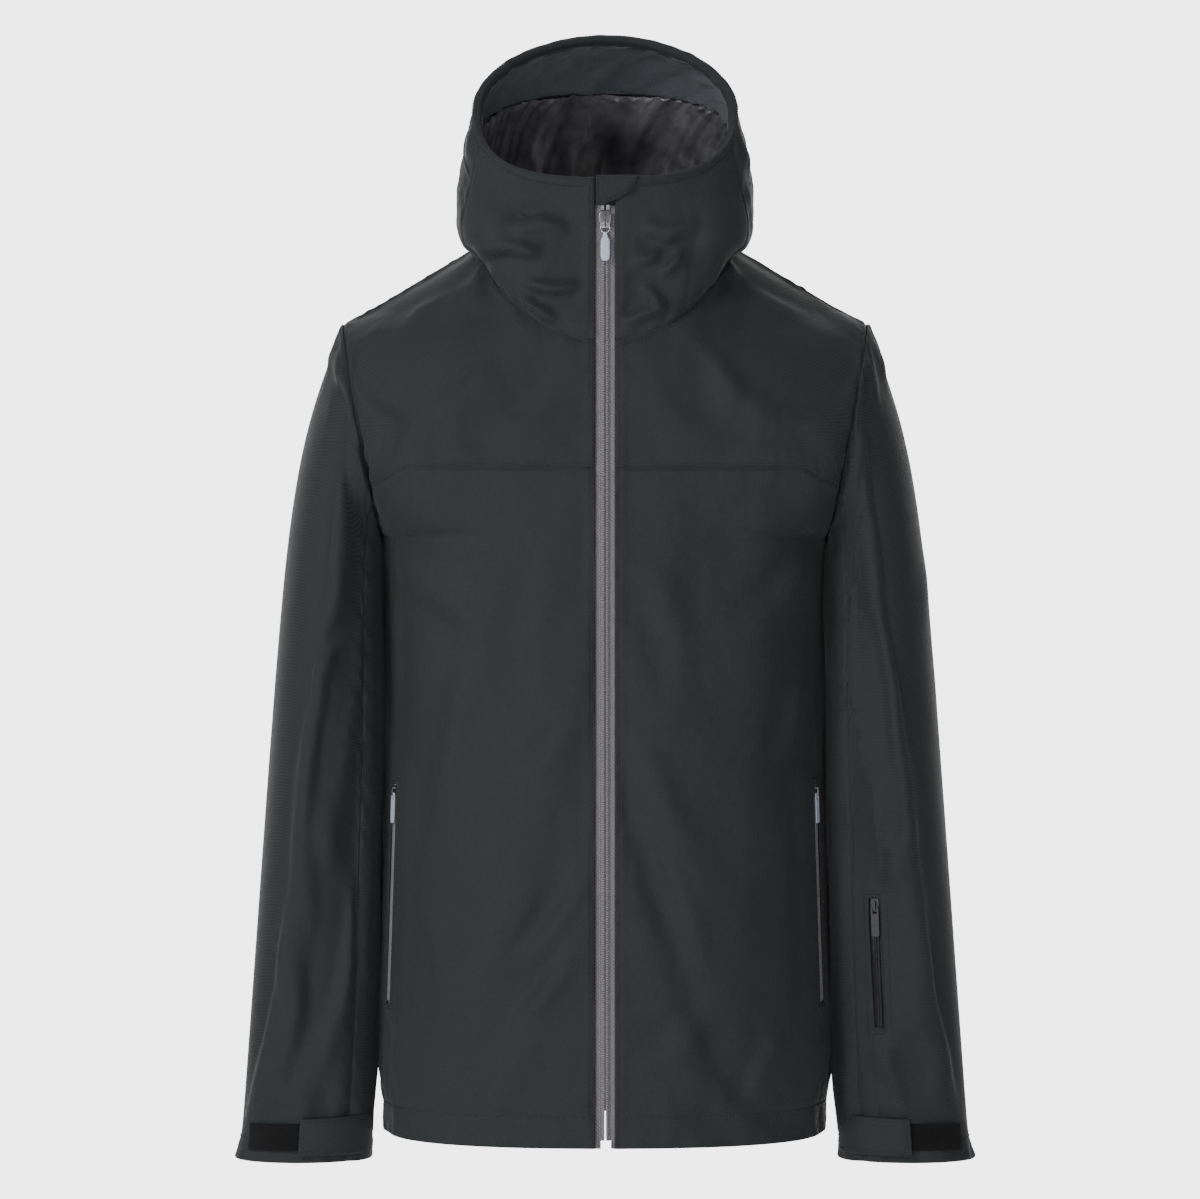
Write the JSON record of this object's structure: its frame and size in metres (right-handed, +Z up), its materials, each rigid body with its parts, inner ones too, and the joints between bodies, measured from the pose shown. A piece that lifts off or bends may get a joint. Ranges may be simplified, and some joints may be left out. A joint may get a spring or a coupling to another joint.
{
  "type": "ski jacket",
  "caption": "Insulated hooded ski jacket with a full front zip, zipped hand and forearm pockets, chin flap and hook-and-loop cuff tabs.",
  "frame": {"origin": "middle of the neck opening, level with the neck points of the shoulder seams, in the side seam plane", "axes": "+X to the wearer's left, -Y to the front, +Z up with the jacket hanging as worn"},
  "size_m": [0.6284, 0.2541, 0.963],
  "materials": {
    "shell_cloth": "plain-woven polyester shell, fine matt weave",
    "lining_taffeta": "smooth black taffeta with a satin gloss",
    "padding": "loose white polyester wadding",
    "pocket_cloth": "brushed tricot",
    "grey_zip_tape": "woven zip tape",
    "grey_zip_coil": "nylon coil, satin",
    "black_zip": "black nylon and painted metal, satin",
    "dark_metal": "gunmetal lacquer, satin",
    "bright_metal": "polished nickel",
    "pull_webbing": "moulded and woven lilac-grey pull",
    "hook_tape": "hook tape",
    "loop_tape": "brushed loop tape"
  },
  "bodies": {
    "root": {"front_yoke_left": "shell_cloth", "front_panel_left": "shell_cloth", "front_padding_left": "padding", "front_lining_left": "lining_taffeta", "hand_pocket_bag_left": "pocket_cloth", "front_yoke_right": "shell_cloth", "front_panel_right": "shell_cloth", "front_padding_right": "padding", "front_lining_right": "lining_taffeta", "hand_pocket_bag_right": "pocket_cloth", "back_yoke": "shell_cloth", "back_panel": "shell_cloth", "back_padding": "padding", "back_lining": "lining_taffeta", "collar_left": "shell_cloth", "hood_side_left": "shell_cloth", "collar_right": "shell_cloth", "hood_side_right": "shell_cloth", "hood_centre": "shell_cloth", "hood_padding": "padding", "hood_lining": "lining_taffeta", "hood_facing": "shell_cloth", "upper_sleeve_left": "shell_cloth", "under_sleeve_left": "shell_cloth", "sleeve_padding_left": "padding", "sleeve_lining_left": "lining_taffeta", "cuff_loop_patch_left": "loop_tape", "hand_pocket_left_zip": "grey_zip_coil", "upper_sleeve_right": "shell_cloth", "under_sleeve_right": "shell_cloth", "sleeve_padding_right": "padding", "sleeve_lining_right": "lining_taffeta", "cuff_loop_patch_right": "loop_tape", "hand_pocket_right_zip": "grey_zip_coil", "pass_pocket_zip": "black_zip", "pass_pocket_bag": "pocket_cloth", "main_zip_tape_right": "grey_zip_tape", "main_zip_coil_right": "grey_zip_coil", "main_zip_top_stop_right": "bright_metal", "main_zip_tape_left": "grey_zip_tape", "main_zip_coil_left": "grey_zip_coil", "main_zip_top_stop_left": "bright_metal", "main_zip_retainer_box": "bright_metal", "hanger_loop": "lining_taffeta"},
    "main_slider": {"main_zip_slider": "dark_metal"},
    "main_pull": {"main_zip_ring": "bright_metal", "main_zip_pull": "pull_webbing"},
    "chin_flap": {"chin_guard": "shell_cloth"},
    "hand_slider_left": {"hand_pocket_left_slider": "dark_metal"},
    "hand_pull_left": {"hand_pocket_left_pull": "pull_webbing"},
    "hand_slider_right": {"hand_pocket_right_slider": "dark_metal"},
    "hand_pull_right": {"hand_pocket_right_pull": "pull_webbing"},
    "pass_slider": {"pass_pocket_slider": "black_zip"},
    "pass_pull": {"pass_pocket_pull": "black_zip"},
    "tab_left": {"cuff_tab_left": "shell_cloth", "cuff_hook_patch_left": "hook_tape"},
    "tab_right": {"cuff_tab_right": "shell_cloth", "cuff_hook_patch_right": "hook_tape"}
  },
  "joints": [
    {"name": "main_zip_slide", "type": "slide", "parent": "root", "child": "main_slider", "axis": [0, -0.0285, -0.9996], "range_m": [0, 0.757]},
    {"name": "main_pull_swing", "type": "hinge", "parent": "main_slider", "child": "main_pull", "pos_m": [0, -0.10911, 0.01282], "axis": [-1, 0, 0], "range_deg": [0, 150]},
    {"name": "chin_flap_peel", "type": "hinge", "parent": "root", "child": "chin_flap", "pos_m": [-0.008, -0.1089, 0.041], "axis": [0, -0.0285, -0.9996], "range_deg": [0, 150]},
    {"name": "hand_zip_slide_left", "type": "slide", "parent": "root", "child": "hand_slider_left", "axis": [0.0332, 0.0212, -0.9992], "range_m": [0, 0.173]},
    {"name": "hand_pull_swing_left", "type": "hinge", "parent": "hand_slider_left", "child": "hand_pull_left", "pos_m": [0.17976, -0.04675, -0.46513], "axis": [-0.3829, -0.9232, -0.0323], "range_deg": [0, 150]},
    {"name": "hand_zip_slide_right", "type": "slide", "parent": "root", "child": "hand_slider_right", "axis": [-0.0332, 0.0212, -0.9992], "range_m": [0, 0.173]},
    {"name": "hand_pull_swing_right", "type": "hinge", "parent": "hand_slider_right", "child": "hand_pull_right", "pos_m": [-0.17976, -0.04675, -0.46513], "axis": [-0.3829, 0.9232, 0.0323], "range_deg": [0, 150]},
    {"name": "pass_zip_slide", "type": "slide", "parent": "root", "child": "pass_slider", "axis": [0.0442, 0.0779, -0.996], "range_m": [0, 0.099]},
    {"name": "pass_pull_swing", "type": "hinge", "parent": "pass_slider", "child": "pass_pull", "pos_m": [0.22757, -0.06283, -0.56053], "axis": [-0.9213, 0.3888, -0.0104], "range_deg": [0, 150]},
    {"name": "cuff_tab_peel_left", "type": "hinge", "parent": "root", "child": "tab_left", "pos_m": [0.2001, -0.0242, -0.7548], "axis": [0.0654, 0.003, -0.9979], "range_deg": [0, 75]},
    {"name": "cuff_tab_peel_right", "type": "hinge", "parent": "root", "child": "tab_right", "pos_m": [-0.2001, -0.0242, -0.7548], "axis": [0.0654, -0.003, 0.9979], "range_deg": [0, 75]}
  ]
}
